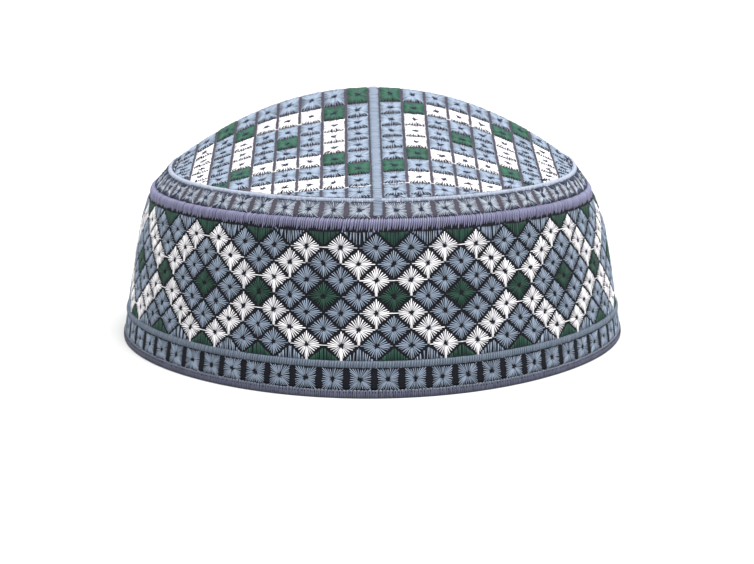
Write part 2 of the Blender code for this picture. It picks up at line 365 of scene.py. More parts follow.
def sew(name, chart, step, pairs, width, height, table, thread, slot, every_other=1.0):
    """One piece of stitches, each from a start to an end in a chart, which turns places into
    points. Their attribute holds painted shade, dark at the foot of a thread where its neighbours
    would shade it and darker where the thread is less tall, together with the thread's own tone, so
    that its top is lighter on some threads than on others. every_other dims every second one, so
    that neighbours tell apart."""
    starts, ends = (np.concatenate(places) for places in zip(*pairs))
    count = len(starts)
    shares = [0.0] + [row[0] for row in table] + [1.0]
    middle = [starts + (ends - starts) * share for share in shares]
    points = [chart(place) for place in middle]
    normals = [surface_normal(chart, place, step) for place in middle]
    half_way = len(shares) // 2
    outwards = points[half_way] - INSIDE
    facing = np.sign((normals[half_way] * outwards).sum())
    normals = [normal * facing for normal in normals]
    width = width * rng.uniform(*THREAD_WIDTHS, (count, 1))
    height = height * rng.uniform(*THREAD_HEIGHTS, (count, 1))
    rows, painted_shades = [points[0] - normals[0] * SUNK], [FOOT_SHADE]
    for i, (_, wide, tall) in enumerate(table, start=1):
        side = unit(np.cross(points[i + 1] - points[i - 1], normals[i]))
        half = side * width * wide / 2
        base = points[i] - normals[i] * SUNK
        top = points[i] + normals[i] * height * tall
        rows += [base - half, top - FLAT_TOP * half, top + FLAT_TOP * half, base + half]
        # Painted shade: the feet of a thread are much darker than its top
        painted_shades += [FOOT_SHADE, tall, tall, FOOT_SHADE]
    rows.append(points[-1] - normals[-1] * SUNK)
    painted_shades.append(FOOT_SHADE)
    verts = np.stack(rows, axis=1).reshape(-1, 3)
    faces = (np.arange(count)[:, None, None] * len(rows) + stitch_faces(len(table))).reshape(-1, 3)
    mesh = bpy.data.meshes.new(name)
    mesh.from_pydata(verts.tolist(), [], faces.tolist())
    lengths = np.linalg.norm(points[-1] - points[0], axis=1)
    along = np.array([0.0] + [row[0] for row in table for _ in range(4)] + [1.0])
    across = np.array([0.5] + [0.0, 0.3, 0.7, 1.0] * len(table) + [0.5])
    uv = stacked(np.tile(across, (count, 1)), lengths[:, None] / MM * along).reshape(-1, 2)
    layer = mesh.uv_layers.new(name="thread")
    layer.data.foreach_set("uv", uv[faces.ravel()].ravel())
    tone_and_shade = mesh.attributes.new("tone_and_shade", "FLOAT", "POINT")
    shade = rng.uniform(*THREAD_TONES, (count, 1))
    shade[::2] *= every_other
    tone_and_shade.data.foreach_set("value", (shade * np.array(painted_shades)).ravel())
    mesh.shade_smooth()
    piece = bpy.data.objects.new(name, mesh)
    bpy.context.scene.collection.objects.link(piece)
    dress(piece, thread, slot)


def thread_row(name, chart, thread, slot, count, low, high, ragged, width, height, slant=0.0,
               table=ROLL_TABLE):
    """Threads side by side along a chart's first number, from low to high in its second."""
    place = np.arange(count) + ROW_JITTER * (rng.random(count) - 0.5)
    starts = stacked(place / count, low + ragged * rng.standard_normal(count))
    lean = slant * (1.0 + LEAN_SPREAD * rng.standard_normal(count))
    ends = stacked((place + lean) / count, high + ragged * rng.standard_normal(count))
    step = (ROW_STEP[0] / count, ROW_STEP[1])
    sew(name, chart, step, [(starts, ends)], width, height, table, thread, slot)


def padding(name, columns, sides, body, thread, slot, *nodes):
    """The roll under a row of threads. body takes places: a share along it and an angle round it.
    It carries no stitch attribute, so it shows in its thread's dark colour: painted shade where it
    shows between the threads.
    """
    def place(along, across):
        return body(stacked(along, math.tau * across))

    dress(cloth_panel(name, columns, sides, place), thread, slot, *nodes)


def rayon(name, dark, light, roughness=0.6):
    """Two-ply rayon embroidery thread, with a soft sheen along its filaments. Its colour follows
    the stitch attribute, which mixes the thread's own tone with painted shade at the foot of each
    thread, and a piece without that attribute takes the dark, shaded colour all over. The plies are
    0.2 mm apart, and are drawn 0.35 mm long and a seventh of the thread wide, so that they show."""
    plies_across, plies_per_mm = 7.2, 2.88
    material, shader = new_material(name)
    place = add_node(material, "ShaderNodeUVMap", {}, uv_map="thread").outputs["UV"]
    sized = add_node(material, "ShaderNodeMapping", {"Vector": place,
                                                     "Scale": (plies_across, plies_per_mm, 1.0)})
    ply = add_node(material, "ShaderNodeTexNoise", {"Vector": sized.outputs["Vector"], "Scale": 1.0,
                                                    "Detail": 2.0})
    tone_and_shade = add_node(material, "ShaderNodeAttribute", {}, attribute_name="tone_and_shade")
    mottled = add_node(material, "ShaderNodeMath", {0: ply.outputs["Fac"], 1: 0.7, 2: 1.25},
                       operation="MULTIPLY_ADD")
    both = add_node(material, "ShaderNodeMath", {0: tone_and_shade.outputs["Fac"], 1: mottled.outputs[0]},
                    operation="MULTIPLY")
    colour = add_node(material, "ShaderNodeMix", {0: both.outputs[0], 6: linear(dark),
                                                  7: linear(light)}, data_type="RGBA")
    bump = add_node(material, "ShaderNodeBump", {"Height": ply.outputs["Fac"], "Strength": 0.3,
                                                 "Distance": 0.08 * MM})
    set_inputs(material, shader, {"Base Color": colour.outputs[2], "Normal": bump.outputs["Normal"],
                                  "Roughness": roughness, "IOR": 1.52, "Specular IOR Level": 0.3})
    return material


def hem_body(place):
    """A squared roll round the band's lower edge, kept on or above the ground."""
    turn = place[..., 1]
    across = np.sign(np.cos(turn)) * np.abs(np.cos(turn)) ** HEM_SQUARENESS
    up = np.sign(np.sin(turn)) * np.abs(np.sin(turn)) ** HEM_SQUARENESS
    inset = BAND_THICKNESS / 2 - (BAND_THICKNESS / 2 + HEM_REACH) * across
    return wall_point(math.tau * place[..., 0], HEM_HEIGHT / 2 * (1.0 + up), inset)


slate_thread = rayon("slate_rayon", "#2f3142", "#4c4f60")
padding("hem_padding", COLUMNS_ROUND, HEM_SIDES, hem_body, slate_thread, "slate_thread", "hem_binding")
thread_row("hem_binding_threads", hem_body, slate_thread, "slate_thread", **HEM_TURNS)
# Painted shadow: near-black thread for the black ground that shows between stitches, where little light
# comes
gap_shadow_thread = rayon("black_ground_painted_shadow", "#0b0b11", "#1b1a24", 0.8)
thread_row("hem_shade_slits", hem_body, gap_shadow_thread, "black_cloth", **HEM_SHADE_SLITS)
chain_thread = rayon("light_slate_rayon", "#4f5463", "#7d838f")
chain_steps = np.arange(CHAIN_STITCHES) / CHAIN_STITCHES
chain_starts = stacked(chain_steps, np.full(CHAIN_STITCHES, CHAIN_TURN))
chain_ends = chain_starts + [CHAIN_FILL / CHAIN_STITCHES, 0.0]
sew("hem_chain_stitches", hem_body, (ROW_STEP[0] / CHAIN_STITCHES, ROW_STEP[1]),
    [(chain_starts, chain_ends)], CHAIN_WIDTH, CHAIN_HEIGHT, SHORT_TABLE, chain_thread, "slate_thread")

# Lower line: pale blue satin stitch low on the band, its threads upright and close together, sewn
# over a flat padding.
LOWER_LINE_HEIGHT = 10.4 * MM
LOWER_LINE_HALF = 1.15 * MM
LOWER_LINE_RISE = 0.4 * MM
LINE_SIDES = 8
# How much of a line's width its threads cover
SATIN_REACH = 0.97
LOWER_SATIN = {"count": 660, "ragged": 0.05, "width": 0.66 * MM, "height": 0.2 * MM, "slant": 0.4}


def lower_line_body(place):
    turn = place[..., 1]
    lift = np.where(np.sin(turn) > 0, LOWER_LINE_RISE * np.sin(turn), -SUNK)
    height = LOWER_LINE_HEIGHT + LOWER_LINE_HALF * np.cos(turn)
    return wall_point(math.tau * place[..., 0], height, -lift)


def over_top(body):
    """A chart of a line's upper side, by its share along and from -1 to 1 across."""
    def chart(place):
        return body(stacked(place[..., 0], np.arccos(np.clip(place[..., 1], -1.0, 1.0))))

    return chart


def satin_line(name, columns, sides, body, thread, satin, *nodes):
    """A line's padding, which stands for its nodes, and the row of threads that lies over it."""
    padding(f"{name}_padding", columns, sides, body, thread, "pale_blue_thread", *nodes)
    thread_row(f"{name}_satin", over_top(body), thread, "pale_blue_thread", low=-SATIN_REACH,
               high=SATIN_REACH, **satin)


# Painted shade: the inner line's pale blue thread, painted darker for the lesser light on the band
lower_thread_painted_darker = rayon("pale_blue_rayon_painted_darker", "#434c59", "#606b79")
satin_line("lower_line", COLUMNS_ROUND, LINE_SIDES, lower_line_body, lower_thread_painted_darker, LOWER_SATIN,
           "lower_line")

# Ridge binding: purple-grey thread overcast over the seam between band and crown. Its threads run
# over a soft roll and on to the cloth above and below, so both its edges are ragged.
RIDGE_RADIUS = 1.45 * MM
RIDGE_INSET = 1.2 * MM
RIDGE_SIDES = 14
# The turns where the threads leave the roll for the crown and for the band
RIDGE_UPPER_TURN = 1.66
RIDGE_LOWER_TURN = -0.4
# As ROLL_TABLE: the ends of these threads lie on the cloth, and are thinner there
RIDGE_TABLE = ((0.04, 0.5, 0.6), (0.16, 0.75, 1.0), (0.3, 1.0, 1.0), (0.44, 1.0, 1.0), (0.58, 1.0, 1.0),
               (0.72, 1.0, 1.0), (0.86, 0.75, 1.0), (0.97, 0.5, 0.6))
RIDGE_TURNS = {"count": 690, "low": -1.3, "high": 1.95, "ragged": 0.24, "width": 0.6 * MM,
               "height": 0.2 * MM, "slant": 0.9, "table": RIDGE_TABLE}


def ridge_roll(place):
    """The roll under the ridge's threads: outwards by the cosine of the angle, up by its sine."""
    angle, turn = math.tau * place[..., 0], place[..., 1]
    outward = unit(corner_point(angle) - wall_point(angle, RIDGE_HEIGHT, MM))
    point = wall_point(angle, RIDGE_HEIGHT, RIDGE_INSET)
    point += outward * (RIDGE_RADIUS * np.cos(turn))[..., None]
    point[..., 2] += RIDGE_RADIUS * np.sin(turn)
    return point


def ridge_chart(place):
    """The roll's surface between its two lines of contact, and the cloth beyond them."""
    angle, turn = math.tau * place[..., 0], place[..., 1]
    held = np.clip(turn, RIDGE_LOWER_TURN, RIDGE_UPPER_TURN)
    point = ridge_roll(stacked(place[..., 0], held))
    corner = corner_point(angle)
    shoulder = unit(oval_point(angle) - corner)
    wall = unit(wall_point(angle, RIDGE_HEIGHT - MM) - corner)
    over = np.maximum(turn - RIDGE_UPPER_TURN, 0.0) * RIDGE_RADIUS
    under = np.maximum(RIDGE_LOWER_TURN - turn, 0.0) * RIDGE_RADIUS
    return point + shoulder * over[..., None] + wall * under[..., None]


ridge_thread = rayon("purple_grey_rayon", "#46465c", "#74748f")
padding("ridge_padding", COLUMNS_ROUND, RIDGE_SIDES, ridge_roll, ridge_thread, "purple_grey_thread",
        "ridge_binding")
thread_row("ridge_binding_threads", ridge_chart, ridge_thread, "purple_grey_thread", **RIDGE_TURNS)

# Inner line: pale blue satin stitch over the edge between the shoulder and the slopes, its threads
# lying across the edge on a flat padding.
INNER_LINE_HALF = 0.95 * MM
INNER_LINE_RISE = 0.4 * MM
INNER_LINE_NEAR = 0.93
INNER_SATIN = {"count": 900, "ragged": 0.06, "width": 0.6 * MM, "height": 0.16 * MM, "slant": 0.3}


def inner_line_body(place):
    angle, turn = math.tau * place[..., 0], place[..., 1]
    oval = oval_point(angle)
    down = unit(corner_point(angle) - oval)
    x = oval[..., 0] * INNER_LINE_NEAR
    y = CREST_Y + (oval[..., 1] - CREST_Y) * INNER_LINE_NEAR
    up = unit(stacked(x, y, fold_height(x, y)) - oval)
    side = unit(oval_point(angle + SMALL_TURN) - oval_point(angle - SMALL_TURN))
    out = unit(np.cross(side, up - down))
    across = np.cos(turn)[..., None]
    lift = np.where(np.sin(turn) > 0, INNER_LINE_RISE * np.sin(turn), -SUNK)
    spread = np.where(across > 0, up, down) * np.abs(across) * INNER_LINE_HALF
    return oval + spread + out * lift[..., None]


# Painted light: the lower line's thread, painted lighter for the stronger light on the crown
inner_thread = rayon("pale_blue_rayon", "#697180", "#939bab")
satin_line("inner_line", COLUMNS_ROUND, LINE_SIDES, inner_line_body, inner_thread, INNER_SATIN,
           "crown_line")

# Low row of squares: 65 blue-grey stars in squares between the hem and the lower line. Each is
# sewn from a small hole in its middle out to its edges, so its threads fan out. The real ones have
# about 44 threads, which would blur into one tone in the render, so 32 are drawn.
SQUARE_COUNT = 65
SQUARE_MIDDLE = 5.85 * MM
SQUARE_HALF = (3.55 * MM, 3.4 * MM)
SQUARE_PHASE = 0.33
SQUARE_CORNERS = ((1, 1), (-1, 1), (-1, -1), (1, -1))
SQUARE_EDGE = 8
SQUARE_STEP = (0.03, 0.2 * MM)
STITCH_WIDTH = 0.4 * MM
SQUARE_WIDTH = 0.87 * STITCH_WIDTH
STITCH_HEIGHT = 0.22 * MM
EVERY_OTHER = 0.7
STAR_HOLE = 0.7 * MM
# How uneven the threads of a star are: in place, in reach, in reach at a corner, and at the hole
RAY_JITTER = 0.24
RAY_RAGGED = 0.11
CORNER_RAGGED = 0.03
HOLE_SIZES = (0.5, 1.5)
# Along a star's stitch: share of its length, of its width and of its height
STAR_TABLE = ((0.1, 0.75, 0.7), (0.5, 1.0, 1.0), (0.95, 0.9, 0.9))


def star(middle, half, corners, each, ragged=RAY_RAGGED, spike=1.0, dip=0.0):
    """Ends of a star's stitches, so many along each edge between its corners. Those at a corner
    run out to spike, which is one share for all corners or one for each. The others stop a little
    short, some more than others, and where there is a dip those next to a corner the most."""
    corners = np.array(corners, dtype=float)
    steps = np.arange(each) + RAY_JITTER * (rng.random((len(corners), each)) - 0.5)
    steps[:, 0] = 0.0
    shares = steps[..., None] / each
    nexts = np.roll(corners, -1, axis=0)
    edge = corners[:, None] + (nexts - corners)[:, None] * shares
    short = 1.0 - ragged * rng.random((len(corners), each, 1)) - dip * (2 * shares - 1.0) ** 2
    short[:, 0] = np.array(spike).reshape(-1, 1) - CORNER_RAGGED * rng.random((len(corners), 1))
    return middle + (edge * short).reshape(-1, 2) * half


def from_hole(middle, ends, scale):
    """Starts of a star's stitches, on the uneven rim of the hole in its middle."""
    reach = np.linalg.norm((ends - middle) * scale, axis=1, keepdims=True)
    hole = STAR_HOLE * rng.uniform(*HOLE_SIZES, (len(ends), 1))
    return middle + (ends - middle) * np.minimum(hole / reach, 0.5)


def sew_stars(name, chart, step, pairs, width, thread, slot, every_other=EVERY_OTHER):
    sew(name, chart, step, pairs, width, STITCH_HEIGHT, STAR_TABLE, thread, slot, every_other)


def ways_along(line):
    """How far each point of a line lies from its first, along the line."""
    return np.concatenate([[0.0], np.cumsum(np.linalg.norm(np.diff(line, axis=0), axis=1))])


HEIGHT_LEVELS = np.linspace(0.0, RIDGE_HEIGHT, 28)
ANGLE_TABLE = []
PERIMETERS = []
for level in HEIGHT_LEVELS:
    ring = plan_curve(FINE_ANGLES, level)
    ways = ways_along(ring)
    PERIMETERS.append(ways[-1])
    ANGLE_TABLE.append(np.interp(np.linspace(0.0, ways[-1], ARC_STEPS + 1), ways, FINE_ANGLES))
ANGLE_TABLE = np.array(ANGLE_TABLE)


def perimeter(height):
    return np.interp(height, HEIGHT_LEVELS, PERIMETERS)


def between(table, i, j):
    """A table's value between its rows and columns."""
    i = np.clip(i, 0, table.shape[0] - 1.001)
    j = np.clip(j, 0, table.shape[1] - 1.001)
    a, b = i.astype(int), j.astype(int)
    s, t = i - a, j - b
    return (table[a, b] * (1 - s) * (1 - t) + table[a + 1, b] * s * (1 - t)
            + table[a, b + 1] * (1 - s) * t + table[a + 1, b + 1] * s * t)


def angle_at(turn, height):
    """The angle that lies a given share of the way round the band at a height."""
    level = height / RIDGE_HEIGHT * (len(HEIGHT_LEVELS) - 1)
    return between(ANGLE_TABLE, level, turn % 1.0 * ARC_STEPS)


def band_by_square(place):
    """A chart of the band: squares round from the front, and height."""
    return wall_point(angle_at(place[..., 0] / SQUARE_COUNT, place[..., 1]), place[..., 1])


square_pitch = perimeter(SQUARE_MIDDLE) / SQUARE_COUNT
square_half = (SQUARE_HALF[0] / square_pitch, SQUARE_HALF[1])
squares = []
for number in range(SQUARE_COUNT):
    middle = np.array([SQUARE_PHASE + number, SQUARE_MIDDLE])
    ends = star(middle, square_half, SQUARE_CORNERS, SQUARE_EDGE)
    squares.append((from_hole(middle, ends, (square_pitch, 1.0)), ends))
blue_thread = rayon("blue_grey_rayon", "#262e39", "#8593a5")
sew_stars("low_square_stars", band_by_square, SQUARE_STEP, squares, SQUARE_WIDTH, blue_thread,
          "blue_star_thread")

# Diamonds of the band: a lattice of 96 half columns and seven rows of stars, with half diamonds of
# upright threads above and below, in twelve repeats. White stars zigzag over and under the middle
# row, green ones are every second of that row and of the half diamonds, and the rest are blue-grey.
# A star has 28 threads for the real 34 or so, so that they show.
HALF_COLUMNS = 96
REPEAT = 8
FRONT_PITCH = 5.55 * MM
COLUMN_PHASE = 0.87
MIDDLE_ROW = 4
MIDDLE_ROW_HEIGHT = 30.9 * MM
ROW_PITCH = 4.97 * MM
LAST_ROW = 8
LATTICE_STEP = (0.04, 0.2 * MM)
LATTICE_SCALE = (FRONT_PITCH, 1.0)
DIAMOND_CORNERS = ((1, 0), (0, 1), (-1, 0), (0, -1))
DIAMOND_EDGE = 7
DIAMOND_FILL = 0.97
DIAMOND_DIP = 0.08
# How far the threads at a diamond's right, upper, left and lower corner reach
DIAMOND_SPIKES = {"blue": (0.98, 0.9, 0.98, 0.9), "white": (1.02, 0.92, 1.02, 1.03),
                  "green": (1.0, 0.94, 1.0, 0.94)}
SPIKE_SPREAD = 0.05
STAR_WIDTHS = {"blue": STITCH_WIDTH, "white": 1.08 * STITCH_WIDTH, "green": 1.08 * STITCH_WIDTH}
# Half diamonds: the heights of their straight edges, and how much of their width and height the
# threads fill
HALF_BASE = {0: 50.7 * MM, LAST_ROW: 11.2 * MM}
HALF_WIDE = 0.92
HALF_TALL = 0.97
HALF_FILL = 0.93
BASE_RAGGED = 0.25 * MM
SHORTEST_TIP = 0.4 * MM
SHORTEST_STITCH = 0.5 * MM
# Of the threads of half diamonds: spacing, width and unevenness
HALF_THREADS = {"blue": (0.58 * MM, 0.36 * MM, 0.04), "green": (0.5 * MM, 0.44 * MM, 0.02)}
# Where a jump thread between two white stars starts and ends, in half columns from the first
JUMP_SPAN = (0.85, 1.15)
JUMP_WIDTH = 0.32 * MM


def band_by_lattice(place):
    """A chart of the band: half columns round from the front, and height. The pitch is even at
    the front and back, and closes up a little at the sides to come out whole."""
    column, height = place[..., 0], place[..., 1]
    spare = HALF_COLUMNS * FRONT_PITCH / perimeter(height) - 1.0
    shifted = column + COLUMN_PHASE
    swing = HALF_COLUMNS / (4 * math.pi) * np.sin(4 * math.pi * shifted / HALF_COLUMNS)
    return wall_point(angle_at((shifted + spare * swing) / HALF_COLUMNS, height), height)


def diamond_colour(column, row):
    """One repeat of the band's chart of stars."""
    along = column % REPEAT
    distance = min(along, REPEAT - along)
    if row in (0, MIDDLE_ROW, LAST_ROW):
        return "green" if column % 4 == 0 else "blue"
    return "white" if distance == abs(row - MIDDLE_ROW) else "blue"


def row_height(row):
    return MIDDLE_ROW_HEIGHT + (MIDDLE_ROW - row) * ROW_PITCH


def half_star(column, row):
    """Starts and ends of the upright stitches in a half diamond, whose base is its straight edge."""
    spacing, _, uneven = HALF_THREADS[diamond_colour(column, row)]
    count = int(2 * FRONT_PITCH / spacing)
    across = np.linspace(-HALF_WIDE, HALF_WIDE, count) + uneven * rng.standard_normal(count)
    tip = (HALF_TALL - np.abs(across)) * ROW_PITCH * (-1.0 if row == 0 else 1.0)
    base = row_height(row) + BASE_RAGGED * rng.standard_normal(count)
    base = np.where(np.abs(tip) > SHORTEST_TIP, HALF_BASE[row], base)
    lean = uneven * rng.standard_normal(count)
    starts = stacked(column + across, base)
    ends = stacked(column + across + lean, row_height(row) + tip * HALF_FILL)
    keep = np.abs(ends - starts)[:, 1] > SHORTEST_STITCH
    return starts[keep], ends[keep]


stars = {"blue": [], "white": [], "green": []}
half_stars = {"blue": [], "green": []}
jumps = []
for row in range(LAST_ROW + 1):
    for column in range(row % 2, HALF_COLUMNS, 2):
        colour = diamond_colour(column, row)
        if row in HALF_BASE:
            half_stars[colour].append(half_star(column, row))
            continue
        middle = np.array([column, row_height(row)])
        ends = star(middle, (DIAMOND_FILL, DIAMOND_FILL * ROW_PITCH), DIAMOND_CORNERS, DIAMOND_EDGE,
                    spike=DIAMOND_SPIKES[colour], dip=DIAMOND_DIP)
        if colour == "white":
            tip = middle - [0.0, DIAMOND_FILL * ROW_PITCH]
            ends = np.concatenate([ends, tip + [[-SPIKE_SPREAD, 0.0], [SPIKE_SPREAD, 0.0]]])
            if diamond_colour(column + 2, row) == "white":
                jumps.append([middle + [[along, 0.0]] for along in JUMP_SPAN])
        stars[colour].append((from_hole(middle, ends, LATTICE_SCALE), ends))

THREADS = {"blue": blue_thread, "white": rayon("white_rayon", "#605e69", "#e3e2e4"),
           "green": rayon("dark_green_rayon", "#081511", "#194235")}
for colour, thread in THREADS.items():
    sew_stars(f"band_{colour}_stars", band_by_lattice, LATTICE_STEP, stars[colour],
              STAR_WIDTHS[colour], thread, f"{colour}_star_thread")
for colour, (_, width, _) in HALF_THREADS.items():
    sew_stars(f"band_{colour}_half_stars", band_by_lattice, LATTICE_STEP, half_stars[colour], width,
              THREADS[colour], f"{colour}_star_thread")
sew_stars("white_jump_threads", band_by_lattice, LATTICE_STEP, jumps, JUMP_WIDTH, THREADS["white"],
          "white_star_thread", every_other=1.0)

# Ring of squares on the shoulder, between the ridge and the inner line: blue-grey stars like the
# low squares, their thread painted paler for the light that falls on the shoulder, with the black
# cloth between them. Two runs of them meet the strip's ends.
RING_PITCH = 8.2 * MM
RING_HALF = 3.55 * MM
RING_EDGE = 9
RING_WIDTH = 1.05 * STITCH_WIDTH
RING_HOLE = 0.75
# From which share of the way up the shoulder to which
RING_LOW = 0.24
RING_HIGH = 0.9
COLUMN_START = 1.7 * MM
CHART_STEP = (0.2 * MM, 0.2 * MM)
ring_arc = ways_along((corner_point(FINE_ANGLES) + oval_point(FINE_ANGLES)) / 2)
shoulder_slope = math.hypot(SHOULDER_WIDTH, SHOULDER_RISE)


def shoulder_by_arc(place):
    """A chart of the shoulder: way round its middle from the front, and way up from the ridge."""
    angle = np.interp(place[..., 0] % ring_arc[-1], ring_arc, FINE_ANGLES)
    low = corner_point(angle)
    return low + (oval_point(angle) - low) * (place[..., 1] / shoulder_slope)[..., None]


# Where the threads of a star part, the black ground shows between their ends, in their shade. On
# the shoulder and the crown these gaps are too fine to show, so each is drawn as a dark wedge of
# painted shadow, darker than the cloth there and about twice as wide.
WEDGE_TABLE = ((0.08, 1.0, 1.0), (0.5, 0.8, 1.0), (0.92, 0.35, 0.8))
WEDGE_HEIGHT = 0.42 * MM
WEDGE_REACH = 1.8 * MM
WEDGE_REACHES = (0.6, 1.4)
WEDGE_WIDTH = 0.24 * MM
HOLE_RAYS = 6
HOLE_JITTER = 0.7
HOLE_START = 0.1 * MM
HOLE_REACH = 1.4 * MM


def along_edge(middle, half, count, side):
    """Even places along a square star's far or near edge, at plus or minus one."""
    shares = 2 * (np.arange(count) + 0.5) / count - 1.0
    return middle + half * stacked(shares, np.full(count, float(side)))


def edge_wedges(heart, edge):
    """Starts and ends of the gaps between rays, from places on an edge towards a star's heart."""
    reach = WEDGE_REACH * rng.uniform(*WEDGE_REACHES, (len(edge), 1))
    return edge, edge + unit(heart - edge) * reach


def hole_wedges(heart):
    """Starts and ends of the gaps that run out from the hole in a star's middle."""
    turn = math.tau * (np.arange(HOLE_RAYS) + HOLE_JITTER * rng.random(HOLE_RAYS)) / HOLE_RAYS
    out = stacked(np.cos(turn), np.sin(turn))
    reach = HOLE_REACH * rng.uniform(*WEDGE_REACHES, (HOLE_RAYS, 1))
    return heart + HOLE_START * out, heart + reach * out


# Painted shadow: dark wedges, sewn like threads over the stars
def sew_wedges(name, chart, pairs, width, thread):
    sew(name, chart, CHART_STEP, pairs, width, WEDGE_HEIGHT, WEDGE_TABLE, thread, "black_cloth")


side_room = ring_arc[-1] / 2 - 2 * COLUMN_START
side_count = round(side_room / RING_PITCH)
ring_half = np.array([RING_HALF, (RING_HIGH - RING_LOW) / 2 * shoulder_slope])
ring_squares, ring_gap_shadows, ring_hole_shades = [], [], []
for side_number in range(2):
    for number in range(side_count):
        way = ring_arc[-1] / 2 * side_number + COLUMN_START + (number + 0.5) * side_room / side_count
        middle = np.array([way, (RING_LOW + RING_HIGH) / 2 * shoulder_slope])
        ends = star(middle, ring_half, SQUARE_CORNERS, RING_EDGE)
        ring_squares.append((from_hole(middle, ends, 1.0 / RING_HOLE), ends))
        for side in (-1, 1):
            ring_gap_shadows.append(edge_wedges(middle, along_edge(middle, ring_half, RING_EDGE, side)))
        ring_hole_shades.append(hole_wedges(middle))
# Painted light: the blue-grey star thread, painted paler where it faces up to the light
ring_thread_painted_paler = rayon("blue_grey_rayon_painted_paler", "#2c313b", "#99a1ad")
sew_stars("ring_square_stars", shoulder_by_arc, CHART_STEP, ring_squares, RING_WIDTH, ring_thread_painted_paler,
          "blue_star_thread")
# Painted shade in the holes of the stars, bluish like thread in shadow, and painted lighter than
# the shadow in the gaps, for the stronger light up here
hole_shade_thread = rayon("painted_hole_shade", "#171a26", "#343b50", 0.8)
sew_wedges("ring_square_gap_shadows", shoulder_by_arc, ring_gap_shadows, WEDGE_WIDTH, hole_shade_thread)
sew_wedges("ring_square_hole_shades", shoulder_by_arc, ring_hole_shades, WEDGE_WIDTH, hole_shade_thread)

# Cells of the crown: rows and columns of square stars on both slopes, in nested squares of white
# and blue with green corners, sewn as the low squares are. The inner line cuts off those at the
# edge. They have 36 threads each, wider than the band's, so that they show.
CELL = 8.2 * MM
CELL_EDGE = 9
CELL_RAGGED = 0.06
CELL_WIDTHS = 1.55
CELL_EVERY_OTHER = 0.85
CELL_HOLE = 0.65
CELL_TEETH = 7
CELL_WEDGE_WIDTH = 0.44 * MM
CELL_GAP = 0.3 * MM
ROW_GAP = 0.14 * MM
FIRST_ROW_DOWN = 1.3 * MM
# How far the lower edge of each row lies from its even place, from the fold to the ninth row
ROW_SHIFTS = np.array([0.0, 2.0, 2.1, 1.7, 1.05, 0.5, 0.3, 0.5, 0.5, 0.3]) * MM
ROW_LEAN = 3.6 * MM
LEAN_WIDTH = 18.0 * MM
COLUMNS_A_SIDE = 10
ROWS_A_SLOPE = 11
# A cell is sewn if this share of it is inside the inner line, by this margin
LEAST_CELL = 0.12
LINE_MARGIN = 1.3 * MM
SLOPE_REACH = 0.985
DOWN_STEP = 0.5 * MM
slope_x = np.linspace(-HALF_WIDTH * SLOPE_REACH, HALF_WIDTH * SLOPE_REACH, 201)
down_table = DOWN_STEP * np.arange(192)
share_steps = np.linspace(0.0, 1.0, 81)


def slope_table(front):
    """For each x, the share of the way from crest to edge at each distance down, and the length."""
    crest_y, _ = crest_line(slope_x)
    edge_y, _ = oval_edge(slope_x, front)
    y = crest_y[:, None] + (edge_y - crest_y)[:, None] * share_steps
    z = fold_height(slope_x[:, None], y)
    steps = np.hypot(np.diff(y, axis=1), np.diff(z, axis=1))
    down = np.pad(np.cumsum(steps, axis=1), ((0, 0), (1, 0)))
    table = [np.interp(down_table, row, share_steps) for row in down]
    return np.array(table), down[:, -1]


SLOPES = {True: slope_table(True), False: slope_table(False)}


def crown_chart(front):
    """A chart of one slope: x, and the way down from the fold."""
    table, _ = SLOPES[front]

    def chart(place):
        x, down = place[..., 0], place[..., 1]
        share = between(table, (x - slope_x[0]) / (slope_x[1] - slope_x[0]), down / DOWN_STEP)
        crest_y, _ = crest_line(x)
        edge_y, _ = oval_edge(x, front)
        y = crest_y + (edge_y - crest_y) * share
        return stacked(x, y, fold_height(x, y))

    return chart


def on_rows(front, place):
    """The way down to a place in even rows. The real rows aren't quite even, and near the strip
    they run down a little to the left in front, and to the right behind."""
    x, down = place[..., 0], place[..., 1]
    even = FIRST_ROW_DOWN + CELL * np.arange(1.0, len(ROW_SHIFTS))
    shift = np.interp(down, np.concatenate([[0.0], even]), ROW_SHIFTS)
    across = x / LEAN_WIDTH
    lean = ROW_LEAN * across * np.exp(-across ** 2 / 2) * np.clip(down / (2 * CELL), 0.0, 1.0)
    return stacked(x, down + shift + (-lean if front else lean))


def row_chart(front):
    """A chart of one slope: x, and the way down from the fold in even rows."""
    slope = crown_chart(front)
    return lambda place: slope(on_rows(front, place))


def cell_colour(column, row):
    """Nested squares about the cell four along and four down, with green corners."""
    shell = max(abs(column - 4), abs(row - 4))
    corner = abs(column - 4) == abs(row - 4) and column < 8 and row < 8
    if shell == 0 or (corner and shell in (2, 3)):
        return "green"
    if shell == 2 or (shell == 4 and 2 <= min(column, row) <= 6):
        return "white"
    return "blue"


def row_end(row):
    return FIRST_ROW_DOWN + CELL * row


# The columns are even along the fold, and stand straight down from it
fine_x = np.linspace(0.0, HALF_WIDTH, 600)
crest_way = ways_along(stacked(fine_x, *crest_line(fine_x)))
column_edges = np.interp(COLUMN_START + CELL * np.arange(COLUMNS_A_SIDE + 1), crest_way, fine_x)
probe_steps = np.linspace(-1.0, 1.0, 11)
probe = stacked(*np.meshgrid(probe_steps, probe_steps)).reshape(-1, 2)
reach_steps = np.linspace(0.0, 1.0, 33)
cells = {(front, colour): [] for front in (True, False) for colour in THREADS}
cell_gap_shadows, cell_hole_shades = {True: [], False: []}, {True: [], False: []}


def on_slope_of(front, place):
    """Whether places in even rows lie inside the inner line, clear of its threads."""
    inside = np.abs(place[..., 0]) < slope_x[-1] - MM
    way = on_rows(front, place)[..., 1]
    return inside & (way < np.interp(place[..., 0], slope_x, SLOPES[front][1]) - LINE_MARGIN)


